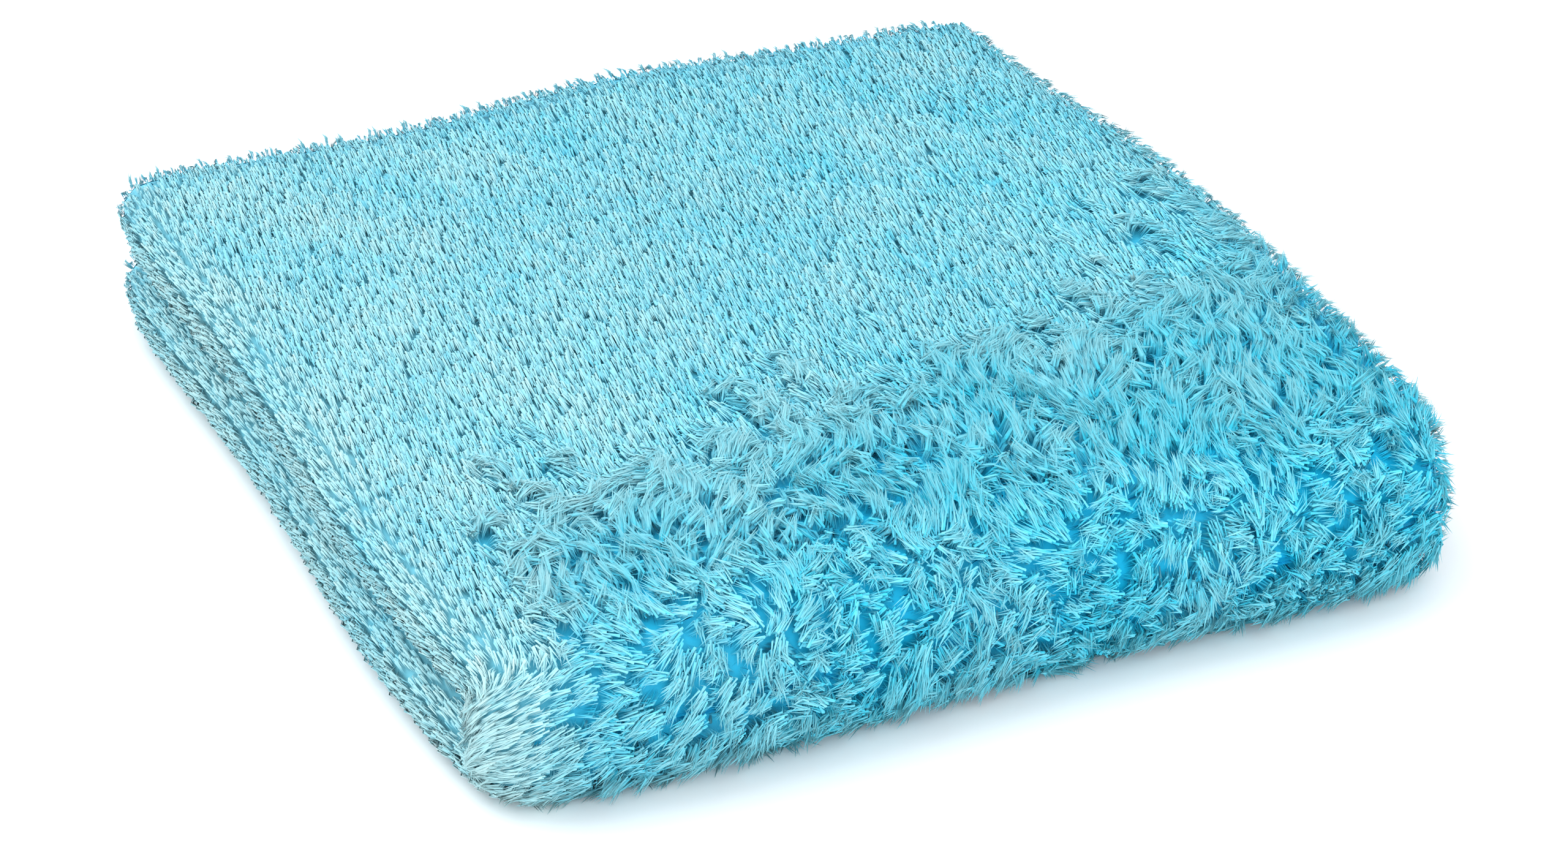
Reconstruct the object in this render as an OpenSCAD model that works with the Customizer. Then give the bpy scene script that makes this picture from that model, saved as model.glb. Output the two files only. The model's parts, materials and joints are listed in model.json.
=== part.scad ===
// Plush polishing cloth, folded in half and in half again.
// Four plies lie on one another. A rolled fold on the left joins the plies of each pair,
// and the fold at the front joins the lower pair to the upper pair.
// X runs along the front fold, +Y to the back, +Z up. The origin is the centre of the bottom face.

/* [Folded cloth] */
// Width along the front fold, from the rolled folds to the right edge
folded_w = 206; // [140:1:320]
// Depth from the front fold to the back edge
folded_d = 219; // [140:1:340]
// Height of the four plies
folded_h = 35; // [28:0.5:56]

/* [Knit and hem] */
// Thickness of the ground knit
ground_t = 1.2; // [0.8:0.1:2]
// Width of the overlocked hem
hem_w = 3.5; // [2:0.5:6]
// Thickness of the overlocked hem
hem_t = 2; // [1.4:0.1:3]

/* [Pile] */
// How far the pile stands out past the hem
hem_cover = 5; // [4:0.5:10]
// How much shorter the outer plies end at the back, after their longer way round the front fold
ply_stagger = 1; // [1:0.5:12]
// Radius of the upright corners
corner_r = 12; // [6:0.5:12]
// Rounding of the outer plies' edges on the right and at the back
edge_r = 4; // [1:0.5:4]

/* [Clearance] */
// Gap between the lower and the upper half
halves_gap = 0.3; // [0.2:0.05:0.5]
// Gap between one layer and the next inside a half
layer_gap = 0.1; // [0.05:0.05:0.3]

/* [Hidden] */
$fn = 96;

// Everything below is drawn for the lower half, and the upper half is its mirror image.
// A section of a half has x across and n up from its outer face.
half_h = (folded_h - halves_gap) / 2;
outer_n = half_h / 4;           // middle of the outer ply
inner_n = 3 * half_h / 4;       // middle of the inner ply
middle_n = half_h / 2;          // middle of the pair, where the rolled fold has its centre
knit_roll_r = half_h / 4;       // radius of the knit in the rolled fold
pile_roll_r = half_h / 2;       // radius of the pile on the rolled fold

left_x = -folded_w / 2;
roll_x = left_x + pile_roll_r;
right_x = folded_w / 2;
hem_right_x = right_x - hem_cover;
knit_right_x = hem_right_x - hem_w;

front_y = -folded_d / 2;
fold_y = front_y + folded_h / 2;
fold_z = folded_h / 2;
inner_back_y = folded_d / 2;
outer_back_y = inner_back_y - ply_stagger;

past = 1;                       // how far a cutting shape runs past what it cuts
corner_margin = 0.5;            // keeps the corner rounding off the flat sides

blue = [0.33, 0.74, 0.90];
deep_blue = [0.16, 0.60, 0.82];
thread_blue = [0.22, 0.66, 0.86];

// Straight run of a section from y0 back to y1
module run(y0, y1) {
    translate([0, y1, 0]) rotate([90, 0, 0]) linear_extrude(y1 - y0) children();
}

// Quarter turn of a section, from the lower run up to the top of the half at the front
module fold_quarter() {
    intersection() {
        translate([0, fold_y, fold_z]) rotate([0, 90, 0]) rotate([0, 0, -90])
            rotate_extrude(angle = 90) translate([fold_z, 0]) mirror([1, 0]) mirror([1, -1]) children();
        translate([left_x - past, front_y - past, -past])
            cube([folded_w + 2 * past, folded_h, half_h + past]);
    }
}

// The part of a section that belongs to the inner ply
module inner_ply_part() {
    intersection() {
        children();
        translate([left_x - past, middle_n]) square([folded_w + 2 * past, half_h]);
    }
}

// The part of a section that belongs to the outer ply
module outer_ply_part() {
    intersection() {
        children();
        translate([left_x - past, middle_n - half_h]) square([folded_w + 2 * past, half_h]);
    }
}

// A section swept from the back edges to mid height in the front fold.
// The outer ply ends short of the inner one by the stagger, and both end back_inset before the pile does.
module sweep_pair(back_inset) {
    run(fold_y, outer_back_y - back_inset) children();
    run(outer_back_y - back_inset, inner_back_y - back_inset) inner_ply_part() children();
    fold_quarter() children();
}

// Section: both plies of the knit and the turn that joins them, of thickness t, out to end_x
module knit_section(t, end_x) {
    for (n = [outer_n, inner_n]) translate([roll_x, n - t / 2]) square([end_x - roll_x, t]);
    intersection() {
        translate([roll_x, middle_n]) difference() {
            circle(knit_roll_r + t / 2);
            circle(knit_roll_r - t / 2);
        }
        translate([left_x, 0]) square([roll_x - left_x, half_h]);
    }
}

// Section: the hem on the right edge of one ply, grown by room on every side
module right_hem_section(n, room) {
    translate([knit_right_x - room, n - hem_t / 2 - room])
        square([hem_w + 2 * room, hem_t + 2 * room]);
}

module outer_ply_hem(room = 0) {
    run(fold_y, outer_back_y - hem_cover + room) right_hem_section(outer_n, room);
    fold_quarter() right_hem_section(outer_n, room);
    run(outer_back_y - hem_cover - hem_w - room, outer_back_y - hem_cover + room)
        outer_ply_part() knit_section(hem_t + 2 * room, hem_right_x + room);
}

module inner_ply_hem(room = 0) {
    run(fold_y, inner_back_y - hem_cover + room) right_hem_section(inner_n, room);
    fold_quarter() right_hem_section(inner_n, room);
    run(inner_back_y - hem_cover - hem_w - room, inner_back_y - hem_cover + room)
        inner_ply_part() knit_section(hem_t + 2 * room, hem_right_x + room);
}

// Everything that the knit and its hems fill, with the layer gap round them
module knit_room() {
    sweep_pair(hem_cover + hem_w - layer_gap)
        knit_section(ground_t + 2 * layer_gap, knit_right_x + layer_gap);
    outer_ply_hem(layer_gap);
    inner_ply_hem(layer_gap);
}

// Upright outline of the folded cloth with its rounded corners
module corner_limit() {
    w = folded_w + 2 * corner_margin;
    d = folded_d + 2 * corner_margin;
    translate([0, 0, -past]) linear_extrude(folded_h + 2 * past) {
        square([w - 2 * corner_r, d], center = true);
        square([w, d - 2 * corner_r], center = true);
        for (sx = [-1, 1], sy = [-1, 1])
            translate([sx * (w / 2 - corner_r), sy * (d / 2 - corner_r)]) circle(corner_r);
    }
}

// Section of the outer pile from x0 to x1, with its lower right corner rounded
module outer_pile_section(x0, x1) {
    intersection() {
        union() {
            translate([x0, 0]) square([x1 - x0 - edge_r, half_h]);
            translate([x0, edge_r]) square([x1 - x0, half_h]);
            translate([x1 - edge_r, edge_r]) circle(edge_r);
        }
        translate([x0, 0]) square([x1 - x0, outer_n - layer_gap / 2]);
    }
}

module ground_knit() {
    sweep_pair(hem_cover + hem_w) knit_section(ground_t, knit_right_x);
}

// The pile outside the outer ply, where it lies flat
module outer_face_pile() {
    difference() {
        intersection() {
            run(fold_y, outer_back_y) outer_pile_section(roll_x, right_x);
            translate([roll_x, 0, 0]) rotate([90, 0, 90]) linear_extrude(right_x - roll_x)
                outer_pile_section(fold_y, outer_back_y);
            corner_limit();
        }
        knit_room();
    }
}

// The pile outside the turn that joins the two plies, on the left
module rolled_fold_pile() {
    difference() {
        intersection() {
            sweep_pair(0) intersection() {
                translate([roll_x, middle_n]) circle(pile_roll_r);
                translate([left_x - past, 0]) square([pile_roll_r + past - layer_gap, half_h]);
            }
            corner_limit();
        }
        sweep_pair(-past) translate([roll_x, middle_n]) circle(knit_roll_r + layer_gap);
        knit_room();
    }
}

// The pile outside the outer ply, where it turns up into the front fold
module front_fold_pile() {
    difference() {
        intersection() {
            fold_quarter() outer_pile_section(roll_x, right_x);
            corner_limit();
        }
        knit_room();
    }
}

// The pile shut in between the two plies
module inner_pile() {
    difference() {
        sweep_pair(0) {
            translate([roll_x, outer_n + layer_gap / 2])
                square([right_x - roll_x, inner_n - outer_n - layer_gap]);
            translate([roll_x, middle_n]) circle(knit_roll_r - layer_gap / 2);
        }
        knit_room();
    }
}

// The pile on the face that meets the other half
module meeting_pile() {
    difference() {
        sweep_pair(0) translate([roll_x, inner_n + layer_gap / 2])
            square([right_x - roll_x, half_h - inner_n - layer_gap / 2]);
        knit_room();
    }
}

// Turns a shape of the lower half into its mirror image in the upper half
module upper() {
    translate([0, 0, folded_h]) mirror([0, 0, 1]) children();
}

module lower_ground_knit() { color(deep_blue) ground_knit(); }
module lower_bottom_pile() { color(blue) outer_face_pile(); }
module lower_rolled_fold_pile() { color(blue) rolled_fold_pile(); }
module lower_front_fold_pile() { color(blue) front_fold_pile(); }
module lower_inner_pile() { color(blue) inner_pile(); }
module lower_meeting_pile() { color(blue) meeting_pile(); }
module bottom_ply_hem() { color(thread_blue) outer_ply_hem(); }
module second_ply_hem() { color(thread_blue) inner_ply_hem(); }
module upper_ground_knit() { color(deep_blue) upper() ground_knit(); }
module upper_top_pile() { color(blue) upper() outer_face_pile(); }
module upper_rolled_fold_pile() { color(blue) upper() rolled_fold_pile(); }
module upper_front_fold_pile() { color(blue) upper() front_fold_pile(); }
module upper_inner_pile() { color(blue) upper() inner_pile(); }
module upper_meeting_pile() { color(blue) upper() meeting_pile(); }
module third_ply_hem() { color(thread_blue) upper() inner_ply_hem(); }
module top_ply_hem() { color(thread_blue) upper() outer_ply_hem(); }

lower_ground_knit();
lower_bottom_pile();
lower_rolled_fold_pile();
lower_front_fold_pile();
lower_inner_pile();
lower_meeting_pile();
bottom_ply_hem();
second_ply_hem();
upper_ground_knit();
upper_top_pile();
upper_rolled_fold_pile();
upper_front_fold_pile();
upper_inner_pile();
upper_meeting_pile();
third_ply_hem();
top_ply_hem();
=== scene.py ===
"""Plush polishing cloth, folded in half and in half again, lying on a pale bench.

The cloth is a thin knit with a long pile on both sides and an overlocked hem. It is built as the
folded knit of each half, the stitched hem round it, and locks of fibres that grow from the knit.
"""

import json
import math

import bpy
import numpy as np
from mathutils import Matrix, Vector

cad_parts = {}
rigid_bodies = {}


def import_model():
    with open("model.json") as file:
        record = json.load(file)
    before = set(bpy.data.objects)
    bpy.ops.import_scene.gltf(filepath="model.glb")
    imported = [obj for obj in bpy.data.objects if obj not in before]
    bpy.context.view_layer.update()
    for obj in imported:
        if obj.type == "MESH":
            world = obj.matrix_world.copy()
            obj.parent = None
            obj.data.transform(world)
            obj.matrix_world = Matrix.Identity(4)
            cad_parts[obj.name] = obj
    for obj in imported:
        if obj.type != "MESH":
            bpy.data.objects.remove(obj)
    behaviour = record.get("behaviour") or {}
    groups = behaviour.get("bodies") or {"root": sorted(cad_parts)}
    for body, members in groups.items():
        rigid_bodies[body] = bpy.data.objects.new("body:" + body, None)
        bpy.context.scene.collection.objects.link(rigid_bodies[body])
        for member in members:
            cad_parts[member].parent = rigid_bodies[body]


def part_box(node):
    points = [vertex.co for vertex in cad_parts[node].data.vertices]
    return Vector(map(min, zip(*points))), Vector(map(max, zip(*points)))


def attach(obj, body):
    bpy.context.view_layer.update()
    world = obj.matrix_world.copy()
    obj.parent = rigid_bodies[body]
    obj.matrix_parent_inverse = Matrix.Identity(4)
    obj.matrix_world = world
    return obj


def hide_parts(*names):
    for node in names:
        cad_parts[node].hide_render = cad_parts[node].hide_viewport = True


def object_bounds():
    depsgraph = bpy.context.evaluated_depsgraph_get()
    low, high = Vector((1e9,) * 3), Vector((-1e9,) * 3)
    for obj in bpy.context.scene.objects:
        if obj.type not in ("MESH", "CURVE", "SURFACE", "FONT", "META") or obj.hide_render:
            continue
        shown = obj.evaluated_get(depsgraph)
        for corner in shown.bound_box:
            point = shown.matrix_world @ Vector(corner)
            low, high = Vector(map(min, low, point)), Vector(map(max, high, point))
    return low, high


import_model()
cad_low, cad_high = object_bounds()

MM = 0.001

# ---------------------------------------------------------------- sizes, from the frame, in metres

WIDTH = cad_high.x - cad_low.x
DEPTH = cad_high.y - cad_low.y
HEIGHT = cad_high.z - cad_low.z
LEFT = cad_low.x
FRONT = cad_low.y
HALF_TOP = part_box("lower_meeting_pile")[1].z      # top of the lower half
ROLL_R = HALF_TOP / 2                             # outside radius of a rolled fold
ROLL_X = LEFT + ROLL_R                            # its centre line
KNIT_R = HALF_TOP / 4                             # radius of the knit in a rolled fold
INNER_N = HALF_TOP * 3 / 4                        # height of the inner ply in its half
FOLD_Z = HEIGHT / 2                               # axis of the front fold
FOLD_Y = FRONT + FOLD_Z
HEM_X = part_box("bottom_ply_hem")[1].x             # outside of the hem on the right
OUTER_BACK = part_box("bottom_ply_hem")[1].y        # outside of the hem at the back
INNER_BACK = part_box("second_ply_hem")[1].y        # the same on the inner ply

KNIT_T = 1.2 * MM
HEM_T = 2.0 * MM
HEM_W = 3.5 * MM
COAT = 2.0 * MM                                   # undercoat: the part of the pile too dense to see into
S_FLAT = HEM_X - ROLL_X                           # along a ply, from its hem to the rolled fold
S_ROLL = math.pi * KNIT_R                         # round the rolled fold
S_ALL = 2 * S_FLAT + S_ROLL
CORNER = 5 * MM                                   # rounding of the knit's corners
SEED = 11

# ---------------------------------------------------------------- camera

CAMERA_LENS = 98.4
CAMERA_AZIMUTH = math.radians(-25.03)
CAMERA_ELEVATION = math.radians(30.17)
CAMERA_DISTANCE = 4.147 * WIDTH
CAMERA_AIM = Vector((0, FRONT + WIDTH / 2, 0.1 * WIDTH))
CAMERA_SIDE = 0.010 * WIDTH
CAMERA_DROP = -0.054 * WIDTH
CAMERA_CLIP = (0.05, 20)


def make_camera():
    """Camera at the low three-quarter view from the front left."""
    back = Vector((
        math.sin(CAMERA_AZIMUTH) * math.cos(CAMERA_ELEVATION),
        -math.cos(CAMERA_AZIMUTH) * math.cos(CAMERA_ELEVATION),
        math.sin(CAMERA_ELEVATION),
    ))
    data = bpy.data.cameras.new("camera")
    data.lens = CAMERA_LENS
    data.clip_start, data.clip_end = CAMERA_CLIP
    camera = bpy.data.objects.new("camera", data)
    bpy.context.scene.collection.objects.link(camera)
    turn = (-back).to_track_quat("-Z", "Y").to_matrix()
    side, up = turn.col[0], turn.col[1]
    place = CAMERA_AIM + back * CAMERA_DISTANCE + side * CAMERA_SIDE + up * CAMERA_DROP
    camera.matrix_world = Matrix.Translation(place) @ turn.to_4x4()
    bpy.context.scene.camera = camera


# ---------------------------------------------------------------- materials

def linear(code):
    """A hex sRGB colour as linear RGBA."""
    parts = [int(code[i:i + 2], 16) / 255 for i in (1, 3, 5)]
    return [c / 12.92 if c <= 0.04045 else ((c + 0.055) / 1.055) ** 2.4 for c in parts] + [1.0]


def add(tree, kind, inputs=(), **settings):
    """Adds a node with its settings. Inputs are values or the sockets they come from."""
    node = tree.nodes.new(kind)
    for name, value in settings.items():
        setattr(node, name, value)
    for name, value in dict(inputs).items():
        if isinstance(value, bpy.types.NodeSocket):
            tree.links.new(value, node.inputs[name])
        else:
            node.inputs[name].default_value = value
    return node


def new_material(name):
    """An empty node material with its shader and output."""
    material = bpy.data.materials.new(name)
    material.use_nodes = True
    tree = material.node_tree
    tree.nodes.clear()
    shader = add(tree, "ShaderNodeBsdfPrincipled")
    add(tree, "ShaderNodeOutputMaterial", {"Surface": shader.outputs[0]})
    return material, tree, shader


def colour_ramp(tree, value, stops):
    """A ramp through hex colours at the given places."""
    ramp = add(tree, "ShaderNodeValToRGB", {"Fac": value})
    elements = ramp.color_ramp.elements
    while len(elements) < len(stops):
        elements.new(0.5)
    for element, (place, code) in zip(elements, stops):
        element.position = place
        element.color = linear(code)
    return ramp.outputs["Color"]


PILE_MAP = "OFBake"                               # across: tone, up: how high in the pile

# Yarn colours from root to tip, where the pile gapes and where its split tips lie close. Their rise
# from saturated roots to pale tips is painted light: light scattered through the fibres low down, a sheen on
# the tips.
DEEP_YARN_AND_SCATTER = [(0.0, "#00c0f0"), (0.35, "#00c0ea"), (0.7, "#2cc4e0"), (1.0, "#74d2e2")]
PALE_YARN_AND_SHEEN = [(0.0, "#28b8de"), (0.30, "#74cadc"), (0.6, "#a2d4da"), (1.0, "#bcdfe0")]

RIB_SCALE = 53.05                                 # ribs of the knit about 6 mm apart
RIB_DEPTH = 0.2 * MM
FILAMENT_SCALE = 1 / (0.8 * MM)                   # grain of the thread
FILAMENT_DEPTH = 0.1 * MM
MOTTLE_SCALE = 6.0


def pile_material():
    """Microfibre pile, dyed in the yarn, with painted light in its colour: deep and saturated at the roots
    for the light scattered through the pile, and pale where the split tips scatter the light, as a painted
    sheen. Each fibre's own map runs from root to tip and across the tones."""
    material, tree, shader = new_material("microfibre pile")
    place = add(tree, "ShaderNodeUVMap", uv_map=PILE_MAP)
    split = add(tree, "ShaderNodeSeparateXYZ", {"Vector": place.outputs["UV"]})
    tone, height = split.outputs["X"], split.outputs["Y"]
    deep = colour_ramp(tree, height, DEEP_YARN_AND_SCATTER)
    pale = colour_ramp(tree, height, PALE_YARN_AND_SHEEN)
    colour = add(tree, "ShaderNodeMix", {"Factor": tone, 6: deep, 7: pale}, data_type="RGBA")
    tree.links.new(colour.outputs[2], shader.inputs["Base Color"])
    shader.inputs["Roughness"].default_value = 0.55
    shader.inputs["Specular IOR Level"].default_value = 0.30
    shader.inputs["Sheen Weight"].default_value = 0.08
    shader.inputs["Sheen Roughness"].default_value = 0.4
    shader.inputs["Sheen Tint"].default_value = linear("#9fe6f2")
    return material


def knit_material():
    """Warp-knit ground of polyester yarn: soft ribs, matt."""
    material, tree, shader = new_material("warp knit ground")
    place = add(tree, "ShaderNodeTexCoord")
    rib = add(tree, "ShaderNodeTexWave", {
        "Vector": place.outputs["Object"], "Scale": RIB_SCALE, "Distortion": 1.5, "Detail": 1.0,
    }).outputs["Fac"]
    colour = colour_ramp(tree, rib, [(0.0, "#00a6dc"), (1.0, "#28bde6")])
    tree.links.new(colour, shader.inputs["Base Color"])
    bump = add(tree, "ShaderNodeBump", {"Height": rib, "Distance": RIB_DEPTH, "Strength": 0.6})
    tree.links.new(bump.outputs[0], shader.inputs["Normal"])
    shader.inputs["Roughness"].default_value = 0.85
    return material


def thread_material():
    """Overlock thread of textured polyester: a twist of fine filaments with a slight sheen."""
    material, tree, shader = new_material("overlock thread")
    place = add(tree, "ShaderNodeTexCoord")
    grain = add(tree, "ShaderNodeTexNoise", {
        "Vector": place.outputs["Object"], "Scale": FILAMENT_SCALE, "Detail": 3.0,
    }).outputs["Fac"]
    colour = colour_ramp(tree, grain, [(0.3, "#1d9cc2"), (0.7, "#58c4dc")])
    tree.links.new(colour, shader.inputs["Base Color"])
    bump = add(tree, "ShaderNodeBump", {"Height": grain, "Distance": FILAMENT_DEPTH, "Strength": 0.5})
    tree.links.new(bump.outputs[0], shader.inputs["Normal"])
    shader.inputs["Roughness"].default_value = 0.5
    shader.inputs["Sheen Weight"].default_value = 0.2
    return material


def bench_material():
    """White painted board, satin and very slightly mottled."""
    material, tree, shader = new_material("white bench")
    place = add(tree, "ShaderNodeTexCoord")
    mottle = add(tree, "ShaderNodeTexNoise", {"Vector": place.outputs["Object"], "Scale": MOTTLE_SCALE})
    colour = colour_ramp(tree, mottle.outputs["Fac"], [(0.3, "#f6f6f7"), (0.7, "#fafafa")])
    tree.links.new(colour, shader.inputs["Base Color"])
    shader.inputs["Roughness"].default_value = 0.7
    return material


# ---------------------------------------------------------------- the folded sheet

def smoothstep(low, high, x):
    """0 at low, 1 at high, with a smooth rise between. Low may be the larger one."""
    share = np.clip((x - low) / (high - low), 0, 1)
    return share * share * (3 - 2 * share)


NOISE_WAVES = 6
NOISE_SPAN = 3.2                                  # what their sum seldom passes


def soft_noise(x, y, wave, seed):
    """A smooth random height, mostly between -1 and 1, as a sum of a few turned sine waves."""
    rng = np.random.default_rng(seed)
    total = np.zeros_like(x, dtype=float)
    for _ in range(NOISE_WAVES):
        turn = rng.uniform(0, 2 * math.pi)
        phase = rng.uniform(0, 2 * math.pi)
        stretch = rng.uniform(0.7, 1.5)
        along = x * math.cos(turn) + y * math.sin(turn)
        total += np.sin(along * 2 * math.pi / (wave * stretch) + phase)
    return total / NOISE_SPAN


CORNER_PULL = 0.05                                # share of its place by which a corner pulls in
CORNER_SINK = 2.6 * MM
EDGE_SINK = 0.4 * MM
RIGHT_SWAY = 2.4 * MM                             # how far the right, left, front and back edges wander
LEFT_SWAY = 1.0 * MM
END_SWAY = 1.2 * MM
TOP_SWELL = 1.1 * MM


def settle(p):
    """Turns the ideal folded shape into cloth: its corners pull in, its edges wander and its top sinks
    and swells."""
    x, y, z = p[..., 0], p[..., 1], p[..., 2]
    half_w, half_d = WIDTH / 2, DEPTH / 2
    up = z / HEIGHT
    right = smoothstep(0.2, 1.0, x / half_w)
    left = smoothstep(0.2, 1.0, -x / half_w)
    back = smoothstep(0.3, 1.0, y / half_d)
    front = smoothstep(0.3, 1.0, -y / half_d)
    corner = (np.abs(x) / half_w) ** 6 * (np.abs(y) / half_d) ** 6 * (1 - 0.7 * back)
    dx = -x * CORNER_PULL * corner
    dx = dx + right * RIGHT_SWAY * np.sin(y / half_d * 3.6 + 2.2)
    dx = dx + left * LEFT_SWAY * np.sin(y / half_d * 5 + 0.6)
    dy = -y * CORNER_PULL * corner
    dy = dy + (back + front) * END_SWAY * soft_noise(x, y * 0, 0.09, SEED + 1)
    dz = up * TOP_SWELL * soft_noise(x, y, 0.085, SEED + 2)
    dz = dz - up * CORNER_SINK * corner - up * EDGE_SINK * (left + back)
    return np.stack([x + dx, y + dy, z + dz], -1)


def folded(s, t):
    """The middle of the knit in the lower half, before it settles. s runs round the rolled fold, from the
    outer ply's hem to the inner ply's. t is 0 at the back, 1 where the front fold begins and 2 at mid
    height."""
    phi = np.clip((s - S_FLAT) / KNIT_R, 0, math.pi)
    past_roll = ROLL_X + s - S_FLAT - S_ROLL
    in_roll = ROLL_X - KNIT_R * np.sin(phi)
    x = np.where(s < S_FLAT, HEM_X - s, np.where(s > S_FLAT + S_ROLL, past_roll, in_roll))
    n = HALF_TOP / 2 - KNIT_R * np.cos(phi)
    back = OUTER_BACK + (INNER_BACK - OUTER_BACK) * phi / math.pi
    psi = np.clip(t - 1, 0, 1) * math.pi / 2
    reach = FOLD_Z - n
    y = np.where(t < 1, back + (FOLD_Y - back) * t, FOLD_Y - reach * np.sin(psi))
    z = np.where(t < 1, n, FOLD_Z - reach * np.cos(psi))
    return np.stack([x, y, z], -1)


def facing(s, t):
    """The direction out of the knit's face side, in the lower half."""
    phi = np.clip((s - S_FLAT) / KNIT_R, 0, math.pi)
    psi = np.clip(t - 1, 0, 1) * math.pi / 2
    out = -np.cos(phi)
    return np.stack([-np.sin(phi), out * np.sin(psi), out * np.cos(psi)], -1)


def upper(p):
    """The mirror image in the upper half of a place in the lower half."""
    return p * np.array([1, 1, -1]) + np.array([0, 0, HEIGHT])


def mirrored(v):
    """The mirror image in the upper half of a direction in the lower half."""
    return v * np.array([1, 1, -1])


def grid(us, vs):
    """Indices of the quads of a len(us) by len(vs) grid."""
    rows, columns = len(us), len(vs)
    i = (np.arange(rows - 1)[:, None] * columns + np.arange(columns - 1)).ravel()
    return np.stack([i, i + 1, i + columns + 1, i + columns], 1)


def new_mesh(name, points, faces, outward=None):
    """A mesh object. Where outward directions are given, its faces are turned to agree with them."""
    if outward is not None:
        a, b, c = points[faces[:, 0]], points[faces[:, 1]], points[faces[:, 2]]
        if (np.cross(b - a, c - a) * outward[faces[:, 0]]).sum() < 0:
            faces = faces[:, ::-1]
    mesh = bpy.data.meshes.new(name)
    mesh.from_pydata(points.tolist(), [], faces.tolist())
    mesh.update()
    ob = bpy.data.objects.new(name, mesh)
    bpy.context.scene.collection.objects.link(ob)
    return ob


def smooth(mesh):
    """Shades a mesh smoothly."""
    mesh.polygons.foreach_set("use_smooth", [True] * len(mesh.polygons))


def finished(ob, name):
    """The evaluated object as a plain mesh object, with the source removed."""
    graph = bpy.context.evaluated_depsgraph_get()
    mesh = bpy.data.meshes.new_from_object(ob.evaluated_get(graph))
    mesh.name = name
    made = bpy.data.objects.new(name, mesh)
    bpy.context.scene.collection.objects.link(made)
    source = ob.data
    bpy.data.objects.remove(ob)
    bpy.data.meshes.remove(source)
    return made


def knit_sheet(name, is_upper, material):
    """Both plies of one half of the ground knit, with the rolled fold and half of the front fold."""
    outer = np.linspace(0, S_FLAT, 48)
    roll = np.linspace(S_FLAT, S_FLAT + S_ROLL, 12)
    inner = np.linspace(S_FLAT + S_ROLL, S_ALL, 48)
    s = np.concatenate([outer, roll[1:], inner[1:]])
    t = np.concatenate([np.linspace(0, 1, 50), np.linspace(1, 2, 9)[1:]])
    ss, tt = np.meshgrid(s, t, indexing="ij")
    points, out = folded(ss, tt).reshape(-1, 3), facing(ss, tt).reshape(-1, 3)
    if is_upper:
        points, out = upper(points), mirrored(out)
    ob = new_mesh(name + "_flat", settle(points), grid(s, t), out)
    solid = ob.modifiers.new("thickness", "SOLIDIFY")
    solid.thickness = KNIT_T
    solid.offset = 0
    made = finished(ob, name)
    made.data.materials.clear()
    made.data.materials.append(material)
    smooth(made.data)
    return made


# ---------------------------------------------------------------- pile

FIBRE_SHARE = 0.085                               # a fibre's width over its strand's length
FLATNESS = 0.45                                   # a fibre's thickness over its width
FIBRE_TURNS = [0, 2 * math.pi / 3, 4 * math.pi / 3]
SOFTNESS = 0.7                                    # how far a fibre's shading follows the pile's surface
FLOOR = 0.6 * MM                                  # below this the pile is pressed on the bench
FLOOR_GIVE = 2.5 * MM                             # how softly it is pressed
EDGE_STRIP = 5 * MM                               # width of the edge pile's strip inside a ply
EDGE_R = 1.4 * MM                                 # radius of the turn round the hem


def fibre(rng, turn, root_r, belly_r, tip_r, bend, curl):
    """One closed bent sliver of a strand, as five points: a root, three round its middle and a tip. It lies
    at a turn about the strand."""
    y_axis = np.array([0, 1.0, 0])
    reach = rng.uniform(0.80, 1.08)
    low, high = bend[0] + rng.normal(0, curl), bend[1] + rng.normal(0, curl)
    sway = rng.normal(0, curl)
    a = np.array([math.sin(low), math.sin(sway) * 0.6, math.cos(low)])
    b = np.array([math.sin(high), math.sin(sway), math.cos(high)])
    over_a = np.array([-math.cos(low), 0, math.sin(low)])
    over_b = np.array([-math.cos(high), 0, math.sin(high)])
    out_a = over_a * math.cos(turn) + y_axis * math.sin(turn)
    out_b = over_b * math.cos(turn) + y_axis * math.sin(turn)
    root = out_a * root_r * math.sqrt(rng.uniform(0.05, 1))
    middle = a * reach * 0.50 + out_a * belly_r * rng.uniform(0.5, 1)
    tip = a * reach * 0.50 + b * reach * 0.50 + out_b * tip_r * rng.uniform(0, 1)
    across = y_axis * math.cos(turn) - over_b * math.sin(turn)
    half = 0.5 * rng.uniform(0.8, 1.2) * FIBRE_SHARE
    roll = math.pi / 2 + rng.uniform(-0.5, 0.5)
    ring = [across * math.cos(roll + w) + out_b * FLATNESS * math.sin(roll + w) for w in FIBRE_TURNS]
    return [root, *(middle + r * half for r in ring), tip]


def lock_mesh(name, rng, fibres, wrap, **shape):
    """One strand of pile, 1 long, standing on its root along +Z and bowing over towards +X. Its fibres lie
    round its upper side and gather to the tip."""
    points, faces, along, side, shade = [], [], [], [], []
    for k in range(fibres):
        turn = wrap * (2 * (k + rng.uniform(0.2, 0.8)) / fibres - 1)
        n = len(points)
        points += fibre(rng, turn, **shape)
        for i in (1, 2, 3):
            j = i % 3 + 1
            faces += [[n, n + j, n + i], [n + i, n + j, n + 4]]
        along += [0.0, 0.5, 0.5, 0.5, 1.0]
        side += [0.0, -1.0, 1.0, 0.0, 0.0]
        shade += [rng.uniform(-1, 1)] * 5
    mesh = bpy.data.meshes.new(name)
    mesh.from_pydata([tuple(p) for p in points], [], faces)
    for label, values in (("along", along), ("side", side), ("shade", shade)):
        mesh.attributes.new(label, "FLOAT", "POINT").data.foreach_set("value", values)
    smooth(mesh)
    return mesh


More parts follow.
